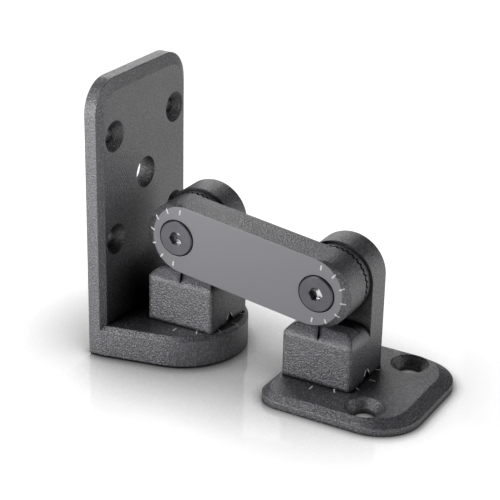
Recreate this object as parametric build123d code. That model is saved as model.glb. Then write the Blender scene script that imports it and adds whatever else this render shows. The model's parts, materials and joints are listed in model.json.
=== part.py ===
"""Wall bracket for a small loudspeaker: a wall plate with a shelf, two swivelling posts joined by a
tilting arm, and a plate that is screwed to the speaker.  Millimetres, +X out of the wall, +Z up.
The origin is the centre of the four-hole pattern, on the face that lies against the wall."""
import os
from math import asin, acos, atan2, cos, degrees, hypot, radians, sin, tan

from build123d import *

# Wall bracket: an upright plate with a shelf cast on its foot
bracket_width = 73.4
bracket_height = 133.3
hole_pattern_height = 81.6      # centre of the hole pattern above the foot
hole_spacing = 50.0
wall_hole_diameter = 7.2
wall_sink_diameter = 14.7
centre_hole_diameter = 15.0
wall_plate_edge = 6.0           # thickness left square at the edge
wall_plate_bevel = 2.1          # thickness taken by the bevel
top_corner_radius = 15.0
side_bevel_width = 3.3
end_bevel_width = 5.6
shelf_height = 15.8
shelf_bevel_width = 2.0
shelf_bevel_height = 2.1
shelf_nose_radius = 31.0
shelf_nose_centre = 29.2        # out from the wall
foot_chamfer = 1.2
swivel_reach = 37.1             # swivel axis of the wall post, out from the wall

# Speaker plate
speaker_plate_edge = 3.4
speaker_plate_bevel = 2.6
speaker_plate_back = 20.8       # from the swivel axis towards the wall
speaker_plate_front = 51.7      # from the swivel axis away from the wall
speaker_back_corner = 11.5
speaker_front_corner = 21.0
speaker_bevel_narrow = 3.6
speaker_bevel_wide = 6.6
speaker_hole_spacing = 47.8
speaker_hole_reach = 28.4       # from the swivel axis
speaker_hole_diameter = 10.5
speaker_sink_diameter = 18.0

# Posts, both alike: a block with an upright ear behind it
post_half_width = 17.5
post_front = 16.6               # from the swivel axis
post_back = 15.6
block_height = 26.0
block_top_corner = 7.0
block_front_corner = 1.8
post_back_edge = 0.9
block_chamfer_drop = 4.5
block_chamfer_run = 5.0
ear_face = 1.65                 # front face of the ear, behind the swivel axis
pivot_height = 45.5             # tilt axis above the underside of the post
pointer_depth = 1.1
tilt_pointer_width = 4.0
swivel_pointer_half_width = 3.4
swivel_pointer_height = 4.9

# Arm
pivot_spacing = 72.6
arm_end_radius = 16.2
arm_back = 3.4                  # back face of the arm, in front of the swivel axis
arm_front = 19.1
crescent_depth = 1.9
crescent_width = 3.8
head_pocket_diameter = 17.7
head_pocket_depth = 2.8

# Toothed faces of the tilt joints
tooth_count = 36
tooth_height = 1.2
tooth_crest_share = 0.14        # flat left on each crest, as a share of the pitch
tooth_inner_radius = 10.5
tooth_skin = 0.1                # left under the deepest part of a groove
crest_gap = 0.3                 # between the crests, with the screw slackened to turn the joint

# Screws and washers
thread_radius = 4.0
running_clearance = 0.08
thread_clearance = 0.05
screw_end_chamfer = 0.8
socket_width = 6.0
tilt_head_diameter = 16.8
tilt_head_height = 3.6
tilt_head_chamfer = 0.5
tilt_thread_grip = 11.0         # length of thread inside the ear
hole_end_space = 1.5            # tapped hole left empty past the screw's end
swivel_head_diameter = 13.0
swivel_head_height = 5.0
swivel_head_chamfer = 0.6
swivel_thread_grip = 13.5
socket_depth = 2.8
sunk_head_radius = 8.0
sunk_clearance = 0.1
head_recess = 0.2               # screw heads lie this far inside the undersides
flat_washer_diameter = 16.0
flat_washer_thickness = 1.6
spring_washer_diameter = 14.8
spring_washer_thickness = 2.0
spring_washer_split = 1.2
swivel_pocket_diameter = 18.0
washer_hole_clearance = 0.2
thrust_washer_diameter = 26.0
thrust_washer_thickness = 1.2
thrust_pocket_clearance = 0.2
swivel_gap = 0.2                # between a post and the plate it turns on

# Places worked out from the sizes above
foot = -hole_pattern_height
shelf_top = foot + shelf_height
speaker_plate_thickness = speaker_plate_edge + speaker_plate_bevel
speaker_plate_top = foot + speaker_plate_thickness
wall_plate_thickness = wall_plate_edge + wall_plate_bevel
wall_pivot_z = shelf_top + swivel_gap + pivot_height
speaker_pivot_z = speaker_plate_top + swivel_gap + pivot_height
arm_slope = degrees(asin((wall_pivot_z - speaker_pivot_z) / pivot_spacing))
speaker_reach = swivel_reach + pivot_spacing * cos(radians(arm_slope))
arm_crest = arm_back - tooth_height
ear_crest = arm_crest - crest_gap
tooth_pitch = 360 / tooth_count
pocket_floor = arm_front - head_pocket_depth
face_front = Rot(90, 0, 0)      # turns +Z of a piece towards the front, -Y
face_back = Rot(-90, 0, 0)


def cylinder_between(radius, low, high):
    """Round bar on the Z axis from low to high."""
    return Pos(0, 0, low) * Cylinder(radius, high - low, align=(Align.CENTER, Align.CENTER, Align.MIN))


def cone_between(low_radius, high_radius, low, high):
    """Cone on the Z axis from low to high."""
    return Pos(0, 0, low) * Cone(low_radius, high_radius, high - low,
                                 align=(Align.CENTER, Align.CENTER, Align.MIN))


def countersunk_hole(hole_diameter, sink_diameter, thickness):
    """Cutter for a 90 degree countersunk hole whose mouth is at z = thickness."""
    hole, sink = hole_diameter / 2, sink_diameter / 2
    spare = 1.0
    return (cylinder_between(hole, -spare, thickness + spare)
            + cone_between(hole, sink + spare, thickness - (sink - hole), thickness + spare))


def shelf_outline(inset):
    """Shelf seen from above: the plate's width at the wall, drawn in to a round nose."""
    radius = shelf_nose_radius - inset
    start = Vector(wall_plate_edge, -bracket_width / 2 + inset)
    to_centre = Vector(shelf_nose_centre, 0) - start
    heading = atan2(to_centre.Y, to_centre.X) - asin(radius / to_centre.length)
    run = (to_centre.length ** 2 - radius ** 2) ** 0.5
    touch = start + Vector(cos(heading), sin(heading)) * run
    nose = Vector(shelf_nose_centre + radius, 0)
    upper = [Vector(p.X, -p.Y) for p in (touch, start)]
    edges = [
        Line((0, start.Y), start),
        Line(start, touch),
        ThreePointArc(touch, nose, upper[0]),
        Line(upper[0], upper[1]),
        Line(upper[1], (0, -start.Y)),
        Line((0, -start.Y), (0, start.Y)),
    ]
    return make_face(edges)


def wall_plate_outline(side_inset, top_inset, corner):
    """Upright plate seen from the front, in the YZ plane, with round top corners."""
    half = bracket_width / 2 - side_inset
    top = foot + bracket_height - top_inset
    blank = Pos(0, (foot + top) / 2) * Rectangle(2 * half, top - foot)
    return fillet(blank.vertices().group_by(Axis.Y)[-1], corner)


def wall_bracket():
    outer = wall_plate_outline(0, 0, top_corner_radius)
    inner = wall_plate_outline(side_bevel_width, end_bevel_width, top_corner_radius - side_bevel_width)
    plate = extrude(Plane.YZ * outer, wall_plate_edge)
    plate += loft([Plane.YZ.offset(wall_plate_edge) * outer, Plane.YZ.offset(wall_plate_thickness) * inner],
                  ruled=True)
    rim = shelf_top - shelf_bevel_height
    shelf = extrude(Pos(0, 0, foot) * shelf_outline(0), rim - foot)
    shelf += loft([Pos(0, 0, rim) * shelf_outline(0), Pos(0, 0, shelf_top) * shelf_outline(shelf_bevel_width)],
                  ruled=True)
    body = plate + shelf
    underside = body.edges().group_by(Axis.Z)[0].sort_by(Axis.X)[1:]
    body = chamfer(underside, foot_chamfer)
    half = hole_spacing / 2
    corner_hole = countersunk_hole(wall_hole_diameter, wall_sink_diameter, wall_plate_thickness)
    body -= [Pos(0, y, z) * Rot(0, 90, 0) * corner_hole for y in (-half, half) for z in (-half, half)]
    spare = 1.0
    body -= Rot(0, 90, 0) * cylinder_between(centre_hole_diameter / 2, -spare, wall_plate_thickness + spare)
    swivel = cylinder_between(thread_radius + running_clearance, foot - spare, shelf_top + spare)
    swivel += cylinder_between(swivel_pocket_diameter / 2, foot - spare, foot + swivel_pocket_depth())
    return body - Pos(swivel_reach, 0, 0) * swivel


def swivel_pocket_depth():
    """Pocket under the shelf that takes the swivel screw's head and its two washers."""
    return head_recess + swivel_head_height + spring_washer_thickness + flat_washer_thickness


def toothed_face(crest, outer_radius, phase):
    """Cutters for the radial V grooves of a toothed face on the Z axis, whose crests are at z = crest.
    Every groove is deepest at the rim and runs out at the axis, so two such faces mesh."""
    reach = outer_radius + 1.0
    lift = 1.0
    depth = (tooth_height - tooth_skin) * reach / outer_radius
    half_width = reach * tan(radians(tooth_pitch / 2)) * (1 - tooth_crest_share)
    top_half_width = half_width * (depth + lift) / depth
    mouth = make_face(Polyline(
        (reach, 0, crest - depth),
        (reach, top_half_width, crest + lift),
        (reach, -top_half_width, crest + lift),
        close=True,
    ))
    groove = loft([mouth, Vertex(0, 0, crest)])
    return [Rot(0, 0, phase + index * tooth_pitch) * groove for index in range(tooth_count)]


def post():
    """One post on its swivel axis, with its underside at z = 0."""
    spare = 1.0
    depth = post_front + post_back
    footprint = Pos(0, (post_back - post_front) / 2) * Rectangle(2 * post_half_width, depth)
    footprint = fillet(footprint.vertices().group_by(Axis.Y)[0], block_front_corner)
    footprint = fillet(footprint.vertices().group_by(Axis.Y)[-1], post_back_edge)
    column = extrude(footprint, pivot_height + post_half_width)

    front_view = Pos(0, block_height / 2) * Rectangle(2 * post_half_width, block_height)
    front_view = fillet(front_view.vertices().group_by(Axis.Y)[-1], block_top_corner)
    block = column & extrude(Plane.XZ.offset(-ear_face) * front_view, ear_face + post_front)

    ear_view = Pos(0, pivot_height / 2) * Rectangle(2 * post_half_width, pivot_height)
    ear_view += Pos(0, pivot_height) * Circle(post_half_width)
    ear = extrude(Plane.XZ.offset(-post_back) * ear_view, post_back - ear_face)
    rear = ear.faces().sort_by(Axis.Y)[-1]
    ear = fillet([edge for edge in rear.edges() if edge.center().Z > spare], post_back_edge)

    chamfer_cut = Plane.YZ.offset(-post_half_width) * make_face(Polyline(
        (-post_front, block_height - block_chamfer_drop),
        (-post_front + block_chamfer_run, block_height),
        (-post_front, block_height + spare),
        (-post_front - spare, block_height + spare),
        (-post_front - spare, block_height - block_chamfer_drop),
        close=True,
    ))
    body = block - extrude(chamfer_cut, 2 * post_half_width)
    body = body + ear
    disc = cylinder_between(arm_end_radius, -ear_face, ear_crest - tooth_height)
    disc += (cylinder_between(arm_end_radius, ear_crest - tooth_height, ear_crest)
             - cylinder_between(tooth_inner_radius, ear_crest - tooth_height, ear_crest))
    disc -= toothed_face(ear_crest, arm_end_radius, 0)
    body += Pos(0, 0, pivot_height) * face_front * disc

    body -= tilt_pointer() + swivel_pointer()
    body -= cylinder_between(thread_radius + thread_clearance, -spare, thread_length_in_post() + hole_end_space)
    pocket_radius = thrust_washer_diameter / 2 + thrust_pocket_clearance
    body -= cylinder_between(pocket_radius, -spare, thrust_washer_thickness - swivel_gap)
    tapped = cylinder_between(thread_radius + thread_clearance,
                              -ear_face - tilt_thread_grip - hole_end_space, ear_crest + spare)
    return body - Pos(0, 0, pivot_height) * face_front * tapped


def thread_length_in_post():
    """Length of a swivel screw above the underside of its post."""
    return swivel_thread_grip


def tilt_pointer():
    """V notch in the chamfered top edge of the block, below the tilt axis."""
    spare = 1.0
    slope = hypot(block_chamfer_run, block_chamfer_drop)
    edge = Plane(
        origin=(0, -post_front, block_height - block_chamfer_drop),
        x_dir=(1, 0, 0),
        z_dir=(0, -block_chamfer_drop, block_chamfer_run),
    )
    half = tilt_pointer_width / 2 * (slope + spare) / slope
    notch = make_face(Polyline((0, 0), (half, slope + spare), (-half, slope + spare), close=True))
    return extrude(edge.offset(-pointer_depth) * notch, pointer_depth + spare)


def swivel_pointer():
    """V notch in the foot of the block, on the side away from the wall."""
    spare = 1.0
    half = swivel_pointer_half_width * (swivel_pointer_height + spare) / swivel_pointer_height
    notch = make_face(Polyline((0, swivel_pointer_height), (-half, -spare), (half, -spare), close=True))
    return extrude(Plane.YZ.offset(post_half_width - pointer_depth) * notch, pointer_depth + spare)


def arm():
    """The arm in its own frame: first pivot at the origin, second on the X axis."""
    middle = Pos(pivot_spacing / 2, 0)
    outline = middle * SlotCenterToCenter(pivot_spacing, 2 * arm_end_radius)
    face = middle * SlotCenterToCenter(pivot_spacing - 2 * crescent_width, 2 * arm_end_radius)
    shoulder = arm_front - crescent_depth
    body = extrude(Plane.XZ.offset(arm_back) * outline, shoulder - arm_back)
    body += loft([Plane.XZ.offset(shoulder) * outline, Plane.XZ.offset(arm_front) * face], ruled=True)
    spare = 1.0
    for x, phase in ((0, 0), (pivot_spacing, 0)):
        ring = (cylinder_between(arm_end_radius, -arm_back, -arm_crest)
                - cylinder_between(tooth_inner_radius, -arm_back, -arm_crest))
        body += Pos(x, 0, 0) * face_back * ring
        grooves = toothed_face(-arm_crest, arm_end_radius, phase + tooth_pitch / 2 - arm_slope)
        body -= [Pos(x, 0, 0) * face_back * groove for groove in grooves]
        hole = cylinder_between(thread_radius + running_clearance, -spare, arm_front + spare)
        hole += cylinder_between(head_pocket_diameter / 2, pocket_floor, arm_front + spare)
        body -= Pos(x, 0, 0) * face_front * hole
    return body


def hex_socket(depth):
    """Cutter for a hexagon socket that opens upwards at z = 0."""
    hexagon = RegularPolygon(socket_width / 2, 6, major_radius=False)
    return extrude(Pos(0, 0, -depth) * hexagon, depth + 1.0)


def cap_screw(head_diameter, head_height, head_chamfer, length):
    """Socket screw with a flat-seated round head: seat at z = 0, thread downwards."""
    head = cylinder_between(head_diameter / 2, 0, head_height)
    head = chamfer(head.edges().group_by(Axis.Z)[-1], head_chamfer)
    shank = cylinder_between(thread_radius, -length, 0)
    shank = chamfer(shank.edges().group_by(Axis.Z)[0], screw_end_chamfer)
    return head + shank - Pos(0, 0, head_height) * hex_socket(socket_depth)


def sunk_screw(length):
    """Countersunk socket screw: top of the head at z = 0, thread downwards."""
    head = cone_between(thread_radius, sunk_head_radius, thread_radius - sunk_head_radius, 0)
    shank = cylinder_between(thread_radius, -length, thread_radius - sunk_head_radius)
    shank = chamfer(shank.edges().group_by(Axis.Z)[0], screw_end_chamfer)
    return head + shank - hex_socket(socket_depth)


def washer(diameter, thickness):
    """Plain washer on the Z axis with its underside at z = 0."""
    hole = thread_radius + washer_hole_clearance
    return cylinder_between(diameter / 2, 0, thickness) - cylinder_between(hole, 0, thickness)


def spring_washer():
    """Split spring washer, closed flat as it is under a tight screw."""
    ring = washer(spring_washer_diameter, spring_washer_thickness)
    slit = Rot(0, 25, 0) * Box(spring_washer_split, spring_washer_diameter, 4 * spring_washer_thickness)
    return ring - Pos(0, spring_washer_diameter / 2, spring_washer_thickness / 2) * slit


def speaker_plate_outline(inset, narrow_inset, back_corner, front_corner):
    """Speaker plate seen from above, on its swivel axis."""
    back = -speaker_plate_back + narrow_inset
    front = speaker_plate_front - inset
    width = bracket_width - 2 * narrow_inset
    blank = Pos((back + front) / 2, 0) * Rectangle(front - back, width)
    blank = fillet(blank.vertices().group_by(Axis.X)[0], back_corner)
    return fillet(blank.vertices().group_by(Axis.X)[-1], front_corner)


def speaker_plate():
    """The plate on its swivel axis, with its underside at z = 0."""
    outer = speaker_plate_outline(0, 0, speaker_back_corner, speaker_front_corner)
    inner = speaker_plate_outline(speaker_bevel_wide, speaker_bevel_narrow,
                                  speaker_back_corner - speaker_bevel_narrow,
                                  speaker_front_corner - speaker_bevel_narrow)
    body = extrude(outer, speaker_plate_edge)
    body += loft([Pos(0, 0, speaker_plate_edge) * outer, Pos(0, 0, speaker_plate_thickness) * inner], ruled=True)
    hole = countersunk_hole(speaker_hole_diameter, speaker_sink_diameter, speaker_plate_thickness)
    half = speaker_hole_spacing / 2
    body -= [Pos(speaker_hole_reach, y, 0) * hole for y in (-half, half)]
    spare = 1.0
    bore = thread_radius + running_clearance
    mouth = sunk_head_radius + head_recess + sunk_clearance
    body -= cylinder_between(bore, -spare, speaker_plate_thickness + spare)
    return body - cone_between(mouth + spare, bore, -spare, mouth - bore)


def at_wall_post(piece):
    return Pos(swivel_reach, 0, shelf_top + swivel_gap) * piece


def at_speaker_post(piece):
    return Pos(speaker_reach, 0, speaker_plate_top + swivel_gap) * piece


def tilt_screw():
    """Screw through the arm into the ear, in the frame of its post."""
    length = pocket_floor + ear_face + tilt_thread_grip
    screw = cap_screw(tilt_head_diameter, tilt_head_height, tilt_head_chamfer, length)
    return Pos(0, -pocket_floor, pivot_height) * face_front * screw


pocket_top = foot + swivel_pocket_depth()
wall_screw_seat = foot + head_recess + swivel_head_height
wall_screw_length = shelf_top + swivel_gap + thread_length_in_post() - wall_screw_seat
speaker_screw_length = speaker_plate_thickness + swivel_gap + thread_length_in_post() - head_recess
post_shape = post()
thrust_washer = Pos(0, 0, -swivel_gap) * washer(thrust_washer_diameter, thrust_washer_thickness)
wall_swivel_screw = Rot(180, 0, 0) * cap_screw(
    swivel_head_diameter, swivel_head_height, swivel_head_chamfer, wall_screw_length)

nodes = {
    "wall_bracket": wall_bracket(),
    "wall_post": at_wall_post(post_shape),
    "wall_thrust_washer": at_wall_post(thrust_washer),
    "wall_tilt_screw": at_wall_post(tilt_screw()),
    "wall_swivel_screw": Pos(swivel_reach, 0, wall_screw_seat) * wall_swivel_screw,
    "wall_spring_washer": Pos(swivel_reach, 0, wall_screw_seat) * spring_washer(),
    "wall_flat_washer": Pos(swivel_reach, 0, pocket_top - flat_washer_thickness)
                        * washer(flat_washer_diameter, flat_washer_thickness),
    "arm": Pos(swivel_reach, 0, wall_pivot_z) * Rot(0, arm_slope, 0) * arm(),
    "speaker_post": at_speaker_post(post_shape),
    "speaker_thrust_washer": at_speaker_post(thrust_washer),
    "speaker_tilt_screw": at_speaker_post(tilt_screw()),
    "speaker_swivel_screw": Pos(speaker_reach, 0, foot + head_recess) * Rot(180, 0, 0)
                            * sunk_screw(speaker_screw_length),
    "speaker_plate": Pos(speaker_reach, 0, foot) * speaker_plate(),
}

os.makedirs("parts", exist_ok=True)
for name, shape in nodes.items():
    export_step(shape, f"parts/{name}.step")
print("swivel axes at x =", swivel_reach, "and", round(speaker_reach, 3))
print("tilt axes at z =", round(wall_pivot_z, 3), "and", round(speaker_pivot_z, 3))
print("arm slopes down", round(arm_slope, 3), "degrees")
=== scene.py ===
"""Finishes, index marks and stage for a wall bracket for a small loudspeaker.

The castings, screws and washers come from the frame. This file gives them their finishes, paints
the index marks and the edges of the pointers, and builds the floor, the lamps and the camera.
"""
import json
from math import cos, pi, radians, sin, sqrt

import bmesh
import bpy
from bpy.props import FloatProperty, FloatVectorProperty, IntProperty, PointerProperty
from bpy.types import Operator, Panel, PropertyGroup
from mathutils import Matrix, Vector
from mathutils.bvhtree import BVHTree


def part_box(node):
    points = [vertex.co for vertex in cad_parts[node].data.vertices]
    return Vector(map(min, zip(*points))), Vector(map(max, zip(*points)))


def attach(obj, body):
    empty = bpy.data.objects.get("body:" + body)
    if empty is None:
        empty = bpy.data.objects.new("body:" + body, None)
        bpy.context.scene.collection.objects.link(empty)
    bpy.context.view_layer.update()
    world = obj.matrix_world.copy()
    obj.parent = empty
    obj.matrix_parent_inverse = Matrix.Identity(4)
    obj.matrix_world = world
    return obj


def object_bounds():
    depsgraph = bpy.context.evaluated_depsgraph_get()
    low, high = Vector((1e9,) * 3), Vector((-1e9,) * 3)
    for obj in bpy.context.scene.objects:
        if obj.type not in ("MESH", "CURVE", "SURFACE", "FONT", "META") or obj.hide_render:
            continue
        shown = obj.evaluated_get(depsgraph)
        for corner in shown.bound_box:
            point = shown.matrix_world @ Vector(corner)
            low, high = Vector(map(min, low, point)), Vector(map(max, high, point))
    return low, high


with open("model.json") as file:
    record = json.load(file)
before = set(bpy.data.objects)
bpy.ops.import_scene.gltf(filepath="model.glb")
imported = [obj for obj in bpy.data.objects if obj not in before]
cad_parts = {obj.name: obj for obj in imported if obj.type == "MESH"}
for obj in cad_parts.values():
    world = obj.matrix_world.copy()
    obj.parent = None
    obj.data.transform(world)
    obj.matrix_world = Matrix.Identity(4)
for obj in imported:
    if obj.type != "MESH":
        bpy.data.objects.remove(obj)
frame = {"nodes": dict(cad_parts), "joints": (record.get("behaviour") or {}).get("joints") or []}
cad_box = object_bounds()
nodes = frame["nodes"]
pivots = {joint["name"]: Vector(joint["pos_m"]) for joint in frame["joints"]}
foot_height = cad_box[0].z

bl_info = {
    "name": "Speaker wall bracket",
    "version": (1, 0, 0),
    "blender": (4, 5, 0),
    "location": "3D View > Sidebar > Bracket",
    "description": "Powder coat, screws, index marks and stage for a speaker wall bracket",
    "category": "Object",
}

# Stops of the ramps: where the input stands, and the share that comes out there.
CREVICE_STOPS = ((0.3, 0.0), (0.8, 1.0))
RECESS_STOPS = ((0.30, 0.0), (0.92, 1.0))
OWN_RECESS_STOPS = ((0.90, 0.0), (0.99, 1.0))
EDGE_WEAR_AND_HIGHLIGHT_STOPS = ((0.01, 0.0), (0.22, 1.0))
TOP_HIGHLIGHT_STOPS = ((0.1, 0.0), (0.45, 1.0), (1.0, 0.8))
SCUFF_STOPS = ((0.50, 0.0), (0.54, 1.0))
FLOOR_STOPS = ((0.0, 0.02), (0.97, 1.0))

# Heights of the coat's grain at which it has its hollow, plain and crest colours.
HOLLOW_HEIGHT, PLAIN_HEIGHT, CREST_HEIGHT = 0.12, 0.50, 0.92

# Rays of each node that rounds edges or feels for close surfaces.
RAYS = 8

# Place, width and height in metres, and power in watts, of each lamp, and where all of them aim.
LAMPS = {
    "front_key": ((-0.18, -0.47, 0.06), (0.3, 0.3), 1.95),
    "right_fill": ((0.85, -0.35, 0.0), (0.4, 0.4), 0.8),
    "right_back_light": ((1.09, 0.59, 0.28), (0.7, 0.7), 3.1),
    "back_softbox": ((-0.576, 0.888, 0.46), (0.8, 0.55), 4.0),
    "top_light": ((-0.48, -0.46, 0.93), (0.6, 0.6), 3.2),
}
LAMP_AIM = Vector((0.06, 0, -0.03))


class CoatSettings(PropertyGroup):
    """Textured powder coat of the castings."""
    colour: FloatVectorProperty(
        name="Colour", description="Colour of the coat", subtype="COLOR", size=3, min=0, max=1,
        default=(0.058, 0.0565, 0.066))
    hollow_colour: FloatVectorProperty(
        name="Hollow colour", description="Colour between the grains of the coat",
        subtype="COLOR", size=3, min=0, max=1, default=(0.015, 0.0145, 0.0175))
    # The crest colour is also the colour of the painted highlights along the edges and on the tops
    # of the blocks.
    crest_and_highlight_colour: FloatVectorProperty(
        name="Crest colour", description="Colour of the rubbed crests of the coat",
        subtype="COLOR", size=3, min=0, max=1, default=(0.2, 0.196, 0.222))
    grain: FloatProperty(
        name="Grain", description="Width of one grain of the coat", unit="LENGTH", min=0.0001,
        default=0.0008)
    grain_height: FloatProperty(
        name="Grain height", description="Height of one grain of the coat", unit="LENGTH",
        min=0, default=0.00016)
    edge_radius: FloatProperty(
        name="Edge radius", description="How far the coat rounds the edges of a casting",
        unit="LENGTH", min=0, default=0.0004)
    plate_edge_radius: FloatProperty(
        name="Plate edge radius", description="How far the coat rounds the edges of the plates",
        unit="LENGTH", min=0, default=0.0007)
    block_edge_radius: FloatProperty(
        name="Block edge radius", description="How far the coat rounds the edges of a block",
        unit="LENGTH", min=0, default=0.0028)
    # Partly edge wear, partly a painted highlight: how much lighter the coat is along its edges.
    wear_and_highlight: FloatProperty(
        name="Edge wear", description="How much lighter the coat is along its edges",
        subtype="FACTOR", min=0, max=1, default=0.25)
    # Painted highlight: how much lighter the coat is on the faces of a post's block that look up.
    top_highlight: FloatProperty(
        name="Top highlight", description="How much lighter the coat is on top of a post's block",
        subtype="FACTOR", min=0, max=1, default=0.5)
    roughness: FloatProperty(
        name="Roughness", description="Roughness of the coat", subtype="FACTOR", min=0, max=1,
        default=0.42)
    # Painted shade in crevices: the coat is darkened where other surfaces lie close.
    crevice_depth: FloatProperty(
        name="Crevice depth", description="How near a surface lies where the coat looks dark",
        unit="LENGTH", min=0.0001, default=0.0028)
    crevice_shade: FloatProperty(
        name="Crevice shade", description="Share of its colour that the coat keeps in a crevice",
        subtype="FACTOR", min=0, max=1, default=0.2)
    # Painted shade in recesses: the coat is darkened between walls.
    recess_depth: FloatProperty(
        name="Recess depth", description="How near walls lie where the coat looks darker",
        unit="LENGTH", min=0.0001, default=0.035)
    recess_shade: FloatProperty(
        name="Recess shade", description="Share of its brightness that the coat keeps in a recess",
        subtype="FACTOR", min=0, max=1, default=0.15)


class ArmFaceSettings(PropertyGroup):
    """Smooth front face of the arm."""
    colour: FloatVectorProperty(
        name="Colour", description="Colour of the smooth face", subtype="COLOR", size=3,
        min=0, max=1, default=(0.152, 0.149, 0.168))
    roughness: FloatProperty(
        name="Roughness", description="Roughness of the smooth face", subtype="FACTOR",
        min=0, max=1, default=0.42)
    depth: FloatProperty(
        name="Depth", description="How far the smooth face reaches round the arm's front edge",
        unit="LENGTH", min=0, default=0.0001)


class ScrewSettings(PropertyGroup):
    """Screws and washers."""
    colour: FloatVectorProperty(
        name="Colour", description="Colour of the blackened steel", subtype="COLOR", size=3,
        min=0, max=1, default=(0.135, 0.132, 0.148))
    roughness: FloatProperty(
        name="Roughness", description="Roughness of the blackened steel", subtype="FACTOR",
        min=0, max=1, default=0.42)
    turning_pitch: FloatProperty(
        name="Turning pitch", description="Distance between the turned rings on a screw head",
        unit="LENGTH", min=0.00001, default=0.00022)
    socket_colour: FloatVectorProperty(
        name="Socket colour", description="Colour of the bare steel inside a socket",
        subtype="COLOR", size=3, min=0, max=1, default=(0.92, 0.92, 0.93))
    bare_from: FloatProperty(
        name="Bare from", description="Depth in a socket where its bare steel starts",
        unit="LENGTH", min=0, default=0.0026)
    bare_to: FloatProperty(
        name="Bare to", description="Depth in a socket where its bare steel ends", unit="LENGTH",
        min=0, default=0.0032)
    zinc_colour: FloatVectorProperty(
        name="Zinc colour", description="Colour of the steel washers", subtype="COLOR", size=3,
        min=0, max=1, default=(0.55, 0.56, 0.58))
    zinc_roughness: FloatProperty(
        name="Zinc roughness", description="Roughness of the steel washers", subtype="FACTOR",
        min=0, max=1, default=0.3)
    nylon_colour: FloatVectorProperty(
        name="Nylon colour", description="Colour of the thrust washers", subtype="COLOR", size=3,
        min=0, max=1, default=(0.03, 0.03, 0.032))


class MarkSettings(PropertyGroup):
    """White index marks, and the paint along the edges of the V pointers."""
    colour: FloatVectorProperty(
        name="Colour", description="Colour of the paint", subtype="COLOR", size=3, min=0, max=1,
        default=(0.95, 0.95, 0.95))
    width: FloatProperty(
        name="Width", description="Width of a mark on the arm", unit="LENGTH", min=0,
        default=0.00074)
    swivel_width: FloatProperty(
        name="Swivel width", description="Width of a mark round a swivel axis", unit="LENGTH",
        min=0, default=0.00062)
    film: FloatProperty(
        name="Film", description="Thickness of the paint", unit="LENGTH", min=0, default=0.00003)
    step: FloatProperty(
        name="Step", description="Angle from one mark to the next", subtype="ANGLE",
        default=radians(30))
    steps_each_way: IntProperty(
        name="Steps each way", description="Marks on each side of the middle one", min=0,
        default=3)
    swivel_radius: FloatProperty(
        name="Swivel radius", description="Distance of the marks from a swivel axis",
        unit="LENGTH", default=0.0206)
    swivel_length: FloatProperty(
        name="Swivel length", description="Length of a mark round a swivel axis", unit="LENGTH",
        default=0.0033)
    tilt_radius: FloatProperty(
        name="Tilt radius", description="Distance of the marks from a tilt axis", unit="LENGTH",
        default=0.0131)
    tilt_length: FloatProperty(
        name="Tilt length", description="Length of a mark round a tilt axis", unit="LENGTH",
        default=0.0026)
    pointer_height: FloatProperty(
        name="Pointer height", description="Height of the V pointer in the foot of a post",
        unit="LENGTH", default=0.0049)
    pointer_half_width: FloatProperty(
        name="Pointer half width", description="Half the width of a V pointer at its foot",
        unit="LENGTH", default=0.0034)
    pointer_length: FloatProperty(
        name="Pointer paint length", description="Length of the paint along an edge of a pointer",
        unit="LENGTH", default=0.0032)
    pointer_gap: FloatProperty(
        name="Pointer gap", description="Bare edge between a pointer's tip and its paint",
        unit="LENGTH", default=0.0003)


class StageSettings(PropertyGroup):
    """Floor, surroundings and camera."""
    floor_half_width: FloatProperty(
        name="Floor half width", description="Half the width of the floor", unit="LENGTH",
        default=6.0)
    floor_drop: FloatProperty(
        name="Floor drop", description="Gap between the floor and the bracket", unit="LENGTH",
        default=0.00002)
    floor_white: FloatProperty(
        name="Floor white", description="How white the camera sees the bare floor",
        subtype="FACTOR", min=0, max=1, default=0.96)
    floor_mirrored: FloatProperty(
        name="Mirrored floor", description="How white glossy surfaces mirror the bare floor",
        subtype="FACTOR", min=0, max=1, default=0.85)
    # Reach of the painted shadow of the bracket on the floor.
    shade_reach: FloatProperty(
        name="Shade reach", description="How far the bracket darkens the floor round it",
        unit="LENGTH", default=0.07)
    contact_reach: FloatProperty(
        name="Contact reach", description="How far the dark line beside the feet reaches",
        unit="LENGTH", default=0.006)
    surroundings: FloatProperty(
        name="Surroundings", description="Strength of the light that comes from all round",
        min=0, default=0.008)
    lens: FloatProperty(name="Lens", description="Focal length", unit="CAMERA", default=112.32)
    azimuth: FloatProperty(
        name="Azimuth", description="Direction of the camera round the bracket",
        subtype="ANGLE", default=radians(29.18))
    elevation: FloatProperty(
        name="Elevation", description="Height of the camera above the horizon",
        subtype="ANGLE", default=radians(23.83))
    roll: FloatProperty(
        name="Roll", description="Turn of the camera about its line of sight",
        subtype="ANGLE", default=radians(1.28))
    distance: FloatProperty(
        name="Distance", description="Camera to the point that it looks at", unit="LENGTH",
        default=0.7139)
    target: FloatVectorProperty(
        name="Target", description="Point that the camera looks at", subtype="TRANSLATION",
        size=3, default=(0.0648, 0.0, -0.0265))


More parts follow.
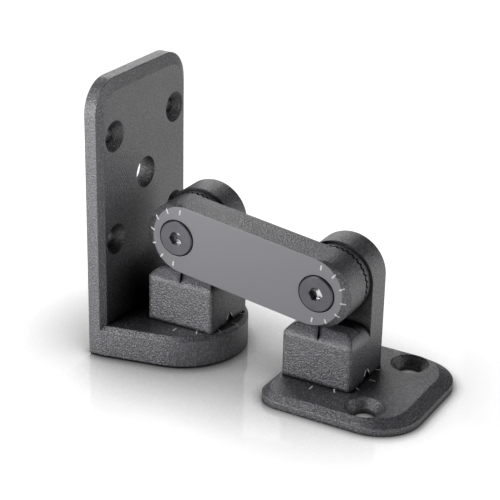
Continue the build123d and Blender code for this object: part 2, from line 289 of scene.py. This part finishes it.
class Wire:
    """A socket of a material. Maths on it adds Math nodes, and add() makes any other node."""

    def __init__(self, tree, socket=None):
        self.tree = tree
        self.socket = socket

    def add(self, kind, settings, inputs, output=0):
        """Makes a node with its settings, then its inputs, and returns one of its outputs."""
        node = self.tree.nodes.new(kind)
        for name, value in settings.items():
            if name == "stops":
                self.set_stops(node.color_ramp, value)
            else:
                setattr(node, name, value)
        for name, value in inputs.items():
            self.feed(node.inputs[name], value)
        return Wire(self.tree, node.outputs[output] if node.outputs else None)

    def set_stops(self, ramp, stops):
        """Gives a ramp its stops. Each has a position, and a colour or one number for a grey."""
        while len(ramp.elements) < len(stops):
            ramp.elements.new(1.0)
        for stop, (position, shade) in zip(ramp.elements, stops):
            stop.position = position
            stop.color = (*(shade if hasattr(shade, "__len__") else [shade] * 3), 1.0)

    def feed(self, socket, value):
        """Links a wire to a socket, or sets the socket to a value."""
        if isinstance(value, Wire):
            self.tree.links.new(value.socket, socket)
        elif hasattr(socket.default_value, "__len__") and len(socket.default_value) == 4:
            socket.default_value = (*value[:3], 1.0)
        else:
            socket.default_value = value

    def maths(self, operation, first, second=0.0):
        """Adds one Math node."""
        return self.add("ShaderNodeMath", {"operation": operation}, {0: first, 1: second})

    def __add__(self, other):
        return self.maths("ADD", self, other)

    def __radd__(self, other):
        return self.maths("ADD", other, self)

    def __sub__(self, other):
        return self.maths("SUBTRACT", self, other)

    def __rsub__(self, other):
        return self.maths("SUBTRACT", other, self)

    def __mul__(self, other):
        return self.maths("MULTIPLY", self, other)

    def __rmul__(self, other):
        return self.maths("MULTIPLY", other, self)

    def __pow__(self, other):
        return self.maths("POWER", self, other)

    def __rpow__(self, other):
        return self.maths("POWER", other, self)

    def __gt__(self, other):
        return self.maths("GREATER_THAN", self, other)

    def __lt__(self, other):
        return self.maths("LESS_THAN", self, other)

    def __abs__(self):
        return self.maths("ABSOLUTE", self)

    def at_least(self, other):
        """The larger of two numbers."""
        return self.maths("MAXIMUM", self, other)

    def lifted(self, share):
        """A share where this mask is 0, and 1 where it is 1."""
        return self * (1 - share) + share

    def mix(self, first, second):
        """A colour or direction between two, by this wire as the factor."""
        return self.add("ShaderNodeMix", {"data_type": "RGBA"},
                        {"Factor": self, 6: first, 7: second}, output=2)

    def tinted(self, colour, low, high):
        """A colour that this wire moves from a low to a high share of itself."""
        return self.mix(tint(colour, low), tint(colour, high))

    def ramp(self, *stops):
        """A ramp of colours or greys over this wire."""
        return self.add("ShaderNodeValToRGB", {"stops": stops}, {"Fac": self})

    def part(self, axis):
        """One coordinate of this place or direction."""
        return self.add("ShaderNodeSeparateXYZ", {}, {"Vector": self}, output=axis)

    def noise(self, size, detail=2.0, roughness=0.5):
        """Noise at this place, whose lumps are about one size wide, in metres."""
        return self.add("ShaderNodeTexNoise", {},
                        {"Vector": self, "Scale": 1 / size, "Detail": detail,
                         "Roughness": roughness})


def tint(colour, share):
    """A share of a colour."""
    return [channel * share for channel in colour]


def new_material(name):
    """An empty node material, and a wire to start it with."""
    material = bpy.data.materials.new(name)
    material.use_nodes = True
    material.node_tree.nodes.clear()
    return material, Wire(material.node_tree)


def finish_material(wire, surface):
    """Joins a surface shader to the material's output."""
    wire.add("ShaderNodeOutputMaterial", {}, {"Surface": surface})


def object_place(wire):
    """Place on the object, in metres, which moves with the object."""
    return wire.add("ShaderNodeTexCoord", {}, {}, output="Object")


def rounded_normal(wire, radius, rays=RAYS):
    """Direction of a surface as if its edges were rounded."""
    return wire.add("ShaderNodeBevel", {"samples": rays}, {"Radius": radius})


def openness(wire, reach, own_only=False):
    """0 where a surface, or only one of the same piece, lies within reach, and 1 in the open."""
    return wire.add("ShaderNodeAmbientOcclusion", {"samples": RAYS, "only_local": own_only},
                    {"Distance": reach}, output="AO")


def grain_height(place, coat):
    """Height of the coat's wrinkled grain from 0 to 1, as on leather."""
    wrinkle_share, speck_share = 0.72, 0.28
    speck_size = coat.grain * 0.45
    lowest, gain = 0.33, 2.9
    wrinkles = place.noise(coat.grain, detail=1.0, roughness=0.6)
    specks = place.noise(speck_size, detail=1.0)
    return (wrinkles * wrinkle_share + specks * speck_share - lowest) * gain


def edge_bend(wire, rounded):
    """How far a rounded normal leans off its face: 0 on a flat face, more towards an edge."""
    facing = wire.add("ShaderNodeNewGeometry", {}, {}, output="Normal")
    return 1 - wire.add("ShaderNodeVectorMath", {"operation": "DOT_PRODUCT"},
                        {0: rounded, 1: facing}, output="Value")


def outside_recesses(wire, place, coat, recess_above, own_recess):
    """0 deep in a recess, where the coat gets painted shade, and 1 outside.

    The recesses are those above the Z plane recess_above, or with own_recess those between walls
    of the piece itself, or else all.
    """
    outside = openness(wire, coat.recess_depth).ramp(*RECESS_STOPS)
    if recess_above is not None:
        outside = outside.at_least(place.part("Z") < recess_above)
    if own_recess:
        alone = openness(wire, coat.recess_depth, own_only=True).ramp(*OWN_RECESS_STOPS)
        outside = outside.at_least(alone)
    return outside


def coat_material(name, coat, edge_radius, smooth_face=None, smooth_front=None,
                  block_front=None, recess_above=None, own_recess=False):
    """Textured powder coat, lighter along its edges from wear and a painted highlight, and
    darkened by painted shade in crevices and recesses.

    In front of the Y plane smooth_front it has a smooth face. In front of the Y plane block_front
    it covers a post's block, with softer edges, a painted highlight on the faces that look up, and
    painted recess shade only at its flanks.
    """
    drift_size, gloss_drift, face_drift = 0.02, 0.12, 0.25
    flank_slope = 0.6
    material, wire = new_material(name)
    place = object_place(wire)
    depth = place.part("Y")
    rounded = rounded_normal(wire, edge_radius)
    # Mask of the painted shade in crevices: 0 where surfaces lie close.
    open_share = openness(wire, coat.crevice_depth).ramp(*CREVICE_STOPS)

    height = grain_height(place, coat)
    colour = height.ramp((HOLLOW_HEIGHT, coat.hollow_colour), (PLAIN_HEIGHT, coat.colour),
                         (CREST_HEIGHT, coat.crest_and_highlight_colour))
    # Painted highlight, partly edge wear: the coat turns to its crest colour where its rounded
    # normal leans off the face.
    edge_wear_and_highlight = edge_bend(wire, rounded).ramp(*EDGE_WEAR_AND_HIGHLIGHT_STOPS) * open_share * coat.wear_and_highlight
    colour = edge_wear_and_highlight.mix(colour, coat.crest_and_highlight_colour)
    drift = place.noise(drift_size) - 0.5
    roughness = coat.roughness + drift * gloss_drift
    if smooth_face:
        smooth = depth < smooth_front
        face_colour = (drift * face_drift + 0.5).tinted(smooth_face.colour, 0.94, 1.06)
        colour = smooth.mix(colour, face_colour)
        roughness = smooth * smooth_face.roughness + (1 - smooth) * roughness
        height = height * (1 - smooth)
    # Painted shade: the coat's colour is darkened in crevices.
    colour = open_share.mix(tint(coat.colour, coat.crevice_shade), colour)

    # Mask of the painted shade in recesses.
    outside = outside_recesses(wire, place, coat, recess_above, own_recess)
    if block_front is not None:
        block = depth < block_front
        rounded = block.mix(rounded, rounded_normal(wire, coat.block_edge_radius))
        facing = wire.add("ShaderNodeTexCoord", {}, {}, output="Normal")
        # On a block, the painted recess shade stays only on the flanks.
        flank = abs(facing.part("X")) > flank_slope
        outside = outside.at_least(block * (1 - flank))
        # Painted highlight: the block's faces that look up are lighter, as if lit from above.
        rubbed = facing.part("Z").ramp(*TOP_HIGHLIGHT_STOPS) * block * coat.top_highlight
        colour = rubbed.mix(colour, coat.crest_and_highlight_colour)

    normal = wire.add("ShaderNodeBump", {},
                      {"Strength": 1.0, "Distance": coat.grain_height, "Height": height,
                       "Normal": rounded})
    lit = wire.add("ShaderNodeBsdfPrincipled", {},
                   {"Base Color": colour, "Roughness": roughness, "Normal": normal,
                    "IOR": 1.7, "Specular IOR Level": 1.0})
    # A near-black shader mixed in as painted shade in crevices and recesses.
    dark = wire.add("ShaderNodeBsdfDiffuse", {}, {"Color": (0.004, 0.004, 0.0044)})
    kept = outside.lifted(coat.recess_shade) * open_share.lifted(coat.crevice_shade)
    finish_material(wire, wire.add("ShaderNodeMixShader", {}, {"Fac": kept, 1: dark, 2: lit}))
    return material


def steel_material(name, colour, turning_pitch, roughness, socket=None):
    """Steel with a fine satin grain, and scuffed bare inside a socket between two Y planes."""
    patch_size, scuff_size = 0.006, 0.0026
    bare_roughness, gloss_drift = 0.22, 0.15
    material, wire = new_material(name)
    place = object_place(wire)
    patches = place.noise(patch_size, detail=3.0)
    shade = patches.tinted(colour, 0.8, 1.15)
    gloss = roughness + (patches - 0.5) * gloss_drift
    if socket:
        bare_colour, mouth, bottom = socket
        depth = place.part("Y")
        scuffs = place.noise(scuff_size, detail=0.0).ramp(*SCUFF_STOPS)
        bare = (depth > mouth) * (depth < bottom) * scuffs
        shade = bare.mix(shade, bare_colour)
        gloss = bare * bare_roughness + (1 - bare) * gloss
    normal = wire.add("ShaderNodeBump", {},
                      {"Strength": 0.6, "Distance": 0.00001,
                       "Height": place.noise(turning_pitch, detail=1.0),
                       "Normal": rounded_normal(wire, 0.0002, rays=4)})
    finish_material(wire, wire.add(
        "ShaderNodeBsdfPrincipled", {},
        {"Base Color": shade, "Roughness": gloss, "Metallic": 0.75, "Normal": normal}))
    return material


def plastic_material(name, colour):
    """Nylon with a faint moulded grain."""
    grain_size = 0.0004
    material, wire = new_material(name)
    grain = object_place(wire).noise(grain_size)
    normal = wire.add("ShaderNodeBump", {},
                      {"Strength": 0.4, "Distance": 0.00002, "Height": grain})
    finish_material(wire, wire.add(
        "ShaderNodeBsdfPrincipled", {},
        {"Base Color": grain.tinted(colour, 0.85, 1.15), "Roughness": 0.5, "Normal": normal}))
    return material


def marking_paint(marks):
    """White marking paint, a little uneven where it was rubbed, and made only once."""
    name, patch_size = "marking_paint", 0.0007
    if name in bpy.data.materials:
        return bpy.data.materials[name]
    material, wire = new_material(name)
    patchy = object_place(wire).noise(patch_size, detail=3.0)
    shade = patchy.ramp((0.3, tint(marks.colour, 0.88)), (0.6, marks.colour))
    finish_material(wire, wire.add(
        "ShaderNodeBsdfPrincipled", {},
        {"Base Color": shade, "Roughness": 0.45 + patchy * 0.2}))
    return material


def floor_material(stage):
    """White glossy floor with a painted shadow that darkens it beside the bracket.

    Glossy surfaces mirror it a little darker than the camera sees it, and to all other rays it is
    a plain grey, so that it doesn't light the bracket from below.
    """
    shade_power, lit_share = 2.5, 0.2
    material, wire = new_material("white_floor")
    seen_by_camera = wire.add("ShaderNodeLightPath", {}, {}, output="Is Camera Ray")
    seen_in_gloss = wire.add("ShaderNodeLightPath", {}, {}, output="Is Glossy Ray")
    wide = openness(wire, stage.shade_reach)
    close = openness(wire, stage.contact_reach)
    # Painted shadow of the bracket on the floor, in the floor's colour and its glow.
    shade = (wide ** shade_power * close).ramp(*FLOOR_STOPS)
    white = wire.add("ShaderNodeBsdfPrincipled", {},
                     {"Base Color": shade * lit_share, "Roughness": 0.09,
                      "Specular IOR Level": 0.08, "Emission Color": shade,
                      "Emission Strength": stage.floor_white})
    mirrored = wire.add("ShaderNodeBsdfPrincipled", {},
                        {"Base Color": (0, 0, 0), "Roughness": 1.0, "Specular IOR Level": 0.0,
                         "Emission Color": shade, "Emission Strength": stage.floor_mirrored})
    grey = wire.add("ShaderNodeBsdfDiffuse", {}, {"Color": (0.25, 0.25, 0.25)})
    unseen = wire.add("ShaderNodeMixShader", {}, {"Fac": seen_in_gloss, 1: grey, 2: mirrored})
    finish_material(wire, wire.add("ShaderNodeMixShader", {},
                                   {"Fac": seen_by_camera, 1: unseen, 2: white}))
    return material


def dress(material, *names):
    """Gives CAD nodes a material."""
    for name in names:
        slots = nodes[name].data.materials
        if len(slots):
            slots[0] = material
        else:
            slots.append(material)


def surface_of(name):
    """The surface of a CAD node, to lay marks on."""
    mesh = nodes[name].data
    return BVHTree.FromPolygons([vertex.co for vertex in mesh.vertices],
                                [face.vertices[:] for face in mesh.polygons])


def lay_mark(bm, surface, start, end, outward, width, film):
    """Lays a mark of paint on a surface, from start to end, as a closed film with round ends."""
    segments = 14
    reach = 0.004  # how far the surface may lie below or above the line
    root = 0.00002  # how deep the film reaches into the surface
    blunt = 0.15  # share of its width that the mark keeps at its very ends
    length = (end - start).length
    across = outward.cross(end - start).normalized()
    radius = width / 2
    rows = []
    for index in range(segments + 1):
        along = (1 - cos(index / segments * pi)) / 2
        from_end = min(along, 1 - along) * length
        rounding = min(from_end / radius, 1.0)
        half = radius * max(sqrt(1 - (1 - rounding) ** 2), blunt)
        row = []
        for side in (-half, half):
            above = start.lerp(end, along) + across * side + outward * reach
            hit = surface.ray_cast(above, -outward, 2 * reach)[0]
            if hit is None:
                raise RuntimeError(f"a mark misses its surface at {above}")
            row += [bm.verts.new(hit - outward * root), bm.verts.new(hit + outward * film)]
        rows.append(row)
    for (a, b, c, d), (e, f, g, h) in zip(rows, rows[1:]):
        bm.faces.new((b, d, h, f))
        bm.faces.new((a, e, g, c))
        bm.faces.new((a, b, f, e))
        bm.faces.new((c, g, h, d))
    a, b, c, d = rows[0]
    bm.faces.new((a, c, d, b))
    a, b, c, d = rows[-1]
    bm.faces.new((a, b, d, c))


def new_piece(name, bm, material, body):
    """Makes an object of a bmesh, which rides on a body."""
    bmesh.ops.recalc_face_normals(bm, faces=bm.faces)
    mesh = bpy.data.meshes.new(name)
    bm.to_mesh(mesh)
    bm.free()
    mesh.materials.append(material)
    piece = bpy.data.objects.new(name, mesh)
    bpy.context.scene.collection.objects.link(piece)
    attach(piece, body)


def mark_angles(marks):
    """Angles of the marks of one scale, from its middle mark."""
    count = marks.steps_each_way
    return [index * marks.step for index in range(-count, count + 1)]


class BRACKET_OT_coat_castings(Operator):
    """Coat the wall bracket, both posts and the speaker plate"""
    bl_idname = "bracket.coat_castings"
    bl_label = "Coat castings"

    def execute(self, context):
        coat = context.scene.bracket_coat
        dress(coat_material("bracket_coat", coat, coat.plate_edge_radius, own_recess=True),
              "wall_bracket")
        below_plate_top = pivots["swivel_speaker"].z - 0.0005
        dress(coat_material("plate_coat", coat, coat.plate_edge_radius,
                            recess_above=below_plate_top), "speaker_plate")
        before_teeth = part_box("arm")[1].y - 0.003
        dress(coat_material("post_coat", coat, coat.edge_radius, block_front=before_teeth),
              "wall_post", "speaker_post")
        return {"FINISHED"}


class BRACKET_OT_coat_arm(Operator):
    """Coat the arm, with its smooth front face"""
    bl_idname = "bracket.coat_arm"
    bl_label = "Coat arm"

    def execute(self, context):
        coat = context.scene.bracket_coat
        face = context.scene.bracket_arm_face
        smooth_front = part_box("arm")[0].y + face.depth
        dress(coat_material("arm_coat", coat, coat.edge_radius, face, smooth_front), "arm")
        return {"FINISHED"}


class BRACKET_OT_finish_screws(Operator):
    """Finish the screws and washers"""
    bl_idname = "bracket.finish_screws"
    bl_label = "Finish screws and washers"

    def execute(self, context):
        screws = context.scene.bracket_screws
        pitch = screws.turning_pitch
        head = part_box("wall_tilt_screw")[0].y
        socket = (screws.socket_colour, head + screws.bare_from, head + screws.bare_to)
        dress(steel_material("black_steel", screws.colour, pitch, screws.roughness, socket),
              "wall_tilt_screw", "speaker_tilt_screw", "wall_swivel_screw",
              "speaker_swivel_screw")
        dress(steel_material("zinc_plate", screws.zinc_colour, pitch, screws.zinc_roughness),
              "wall_spring_washer", "wall_flat_washer")
        dress(plastic_material("black_nylon", screws.nylon_colour),
              "wall_thrust_washer", "speaker_thrust_washer")
        return {"FINISHED"}


class BRACKET_OT_paint_swivel_marks(Operator):
    """Paint the marks round both swivel axes"""
    bl_idname = "bracket.paint_swivel_marks"
    bl_label = "Paint swivel marks"

    def execute(self, context):
        marks = context.scene.bracket_marks
        up = Vector((0, 0, 1))
        for name, body, joint in (("shelf_marks", "wall_bracket", "swivel_wall"),
                                  ("plate_marks", "speaker_plate", "swivel_speaker")):
            bm = bmesh.new()
            surface = surface_of(body)
            for angle in mark_angles(marks):
                outwards = Vector((cos(angle), sin(angle), 0))
                middle = pivots[joint] + outwards * marks.swivel_radius
                half = outwards * marks.swivel_length / 2
                lay_mark(bm, surface, middle - half, middle + half, up, marks.swivel_width,
                         marks.film)
            new_piece(name, bm, marking_paint(marks), body)
        return {"FINISHED"}


class BRACKET_OT_paint_tilt_marks(Operator):
    """Paint the marks round both tilt axes on the arm"""
    bl_idname = "bracket.paint_tilt_marks"
    bl_label = "Paint tilt marks"

    def execute(self, context):
        marks = context.scene.bracket_marks
        surface = surface_of("arm")
        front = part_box("arm")[0].y
        wall_end, speaker_end = pivots["tilt_wall"], pivots["tilt_speaker"]
        for name, pivot, other in (("wall_tilt_marks", wall_end, speaker_end),
                                   ("speaker_tilt_marks", speaker_end, wall_end)):
            bm = bmesh.new()
            outwards = (pivot - other).normalized()
            for angle in mark_angles(marks):
                direction = Matrix.Rotation(angle, 3, "Y") @ outwards
                middle = pivot + direction * marks.tilt_radius
                middle.y = front
                half = direction * marks.tilt_length / 2
                lay_mark(bm, surface, middle - half, middle + half, Vector((0, -1, 0)),
                         marks.width, marks.film)
            new_piece(name, bm, marking_paint(marks), "arm")
        return {"FINISHED"}


class BRACKET_OT_paint_pointers(Operator):
    """Paint the edges of the V pointer in the foot of each post"""
    bl_idname = "bracket.paint_pointers"
    bl_label = "Paint pointers"

    def execute(self, context):
        marks = context.scene.bracket_marks
        outwards = Vector((1, 0, 0))
        aside = marks.swivel_width * 0.9  # from the edge to the middle of its paint
        for name, post, joint in (("wall_pointer_paint", "wall_post", "swivel_wall"),
                                  ("speaker_pointer_paint", "speaker_post", "swivel_speaker")):
            bm = bmesh.new()
            surface = surface_of(post)
            low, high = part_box(post)
            tip = Vector((high.x, pivots[joint].y, low.z + marks.pointer_height))
            for side in (-1, 1):
                down = Vector((0, side * marks.pointer_half_width, -marks.pointer_height))
                down.normalize()
                start = tip + Vector((0, side * aside, 0)) + down * marks.pointer_gap
                lay_mark(bm, surface, start, start + down * marks.pointer_length, outwards,
                         marks.swivel_width, marks.film)
            new_piece(name, bm, marking_paint(marks), post)
        return {"FINISHED"}


def build_floor(stage):
    """A wide floor just below the bracket."""
    bm = bmesh.new()
    bmesh.ops.create_grid(bm, x_segments=1, y_segments=1, size=stage.floor_half_width)
    mesh = bpy.data.meshes.new("floor")
    bm.to_mesh(mesh)
    bm.free()
    mesh.materials.append(floor_material(stage))
    floor = bpy.data.objects.new("floor", mesh)
    floor.location = (0, 0, foot_height - stage.floor_drop)
    bpy.context.scene.collection.objects.link(floor)


def studio_world(stage):
    """Surroundings that the camera sees white, and that give only a faint light."""
    world = bpy.data.worlds.new("studio")
    world.use_nodes = True
    world.node_tree.nodes.clear()
    wire = Wire(world.node_tree)
    seen_by_camera = wire.add("ShaderNodeLightPath", {}, {}, output="Is Camera Ray")
    faint, white = [wire.add("ShaderNodeBackground", {}, {"Color": (1, 1, 1), "Strength": level})
                    for level in (stage.surroundings, 1.0)]
    both = wire.add("ShaderNodeMixShader", {}, {"Fac": seen_by_camera, 1: faint, 2: white})
    wire.add("ShaderNodeOutputWorld", {}, {"Surface": both})
    return world


def area_light(name, place, size, watts):
    """A soft lamp that points at the bracket."""
    light = bpy.data.lights.new(name, "AREA")
    light.shape = "RECTANGLE"
    light.size, light.size_y = size
    light.energy = watts
    lamp = bpy.data.objects.new(name, light)
    lamp.location = place
    lamp.rotation_euler = (LAMP_AIM - Vector(place)).to_track_quat("-Z", "Y").to_euler()
    bpy.context.scene.collection.objects.link(lamp)


def aimed_camera(stage):
    """A camera that looks at its target, rolled about its line of sight."""
    camera = bpy.data.cameras.new("camera")
    camera.sensor_width = 36
    camera.lens = stage.lens
    camera.clip_start = 0.01
    camera.clip_end = 50
    eye = bpy.data.objects.new("camera", camera)
    back = Vector((sin(stage.azimuth) * cos(stage.elevation),
                   -cos(stage.azimuth) * cos(stage.elevation),
                   sin(stage.elevation)))
    right = Vector((0, 0, 1)).cross(back).normalized()
    up = back.cross(right)
    rolled_right = right * cos(stage.roll) + up * sin(stage.roll)
    rolled_up = up * cos(stage.roll) - right * sin(stage.roll)
    turn = Matrix((rolled_right, rolled_up, back)).transposed()
    place = Vector(stage.target) + back * stage.distance
    eye.matrix_world = Matrix.Translation(place) @ turn.to_4x4()
    bpy.context.scene.collection.objects.link(eye)
    return eye


class BRACKET_OT_build_stage(Operator):
    """Build the floor, the lights and the camera"""
    bl_idname = "bracket.build_stage"
    bl_label = "Build stage"

    def execute(self, context):
        scene = context.scene
        stage = scene.bracket_stage
        build_floor(stage)
        scene.world = studio_world(stage)
        for name, (place, size, watts) in LAMPS.items():
            area_light(name, place, size, watts)
        scene.camera = aimed_camera(stage)
        scene.view_settings.view_transform = "Standard"
        return {"FINISHED"}


class BRACKET_PT_panel(Panel):
    """Steps that dress the bracket"""
    bl_label = "Speaker wall bracket"
    bl_space_type = "VIEW_3D"
    bl_region_type = "UI"
    bl_category = "Bracket"

    def draw(self, context):
        for step in steps:
            self.layout.operator(step.bl_idname)


settings = {
    "bracket_coat": CoatSettings,
    "bracket_arm_face": ArmFaceSettings,
    "bracket_screws": ScrewSettings,
    "bracket_marks": MarkSettings,
    "bracket_stage": StageSettings,
}
steps = (
    BRACKET_OT_coat_castings,
    BRACKET_OT_coat_arm,
    BRACKET_OT_finish_screws,
    BRACKET_OT_paint_swivel_marks,
    BRACKET_OT_paint_tilt_marks,
    BRACKET_OT_paint_pointers,
    BRACKET_OT_build_stage,
)


def register():
    for kind in (*settings.values(), *steps, BRACKET_PT_panel):
        bpy.utils.register_class(kind)
    for name, kind in settings.items():
        setattr(bpy.types.Scene, name, PointerProperty(type=kind))


def unregister():
    for name in settings:
        delattr(bpy.types.Scene, name)
    for kind in (BRACKET_PT_panel, *reversed(steps), *reversed(settings.values())):
        bpy.utils.unregister_class(kind)


def main():
    register()
    bpy.ops.bracket.coat_castings()
    bpy.ops.bracket.coat_arm()
    bpy.ops.bracket.finish_screws()
    bpy.ops.bracket.paint_swivel_marks()
    bpy.ops.bracket.paint_tilt_marks()
    bpy.ops.bracket.paint_pointers()
    bpy.ops.bracket.build_stage()


if __name__ == "__main__":
    main()
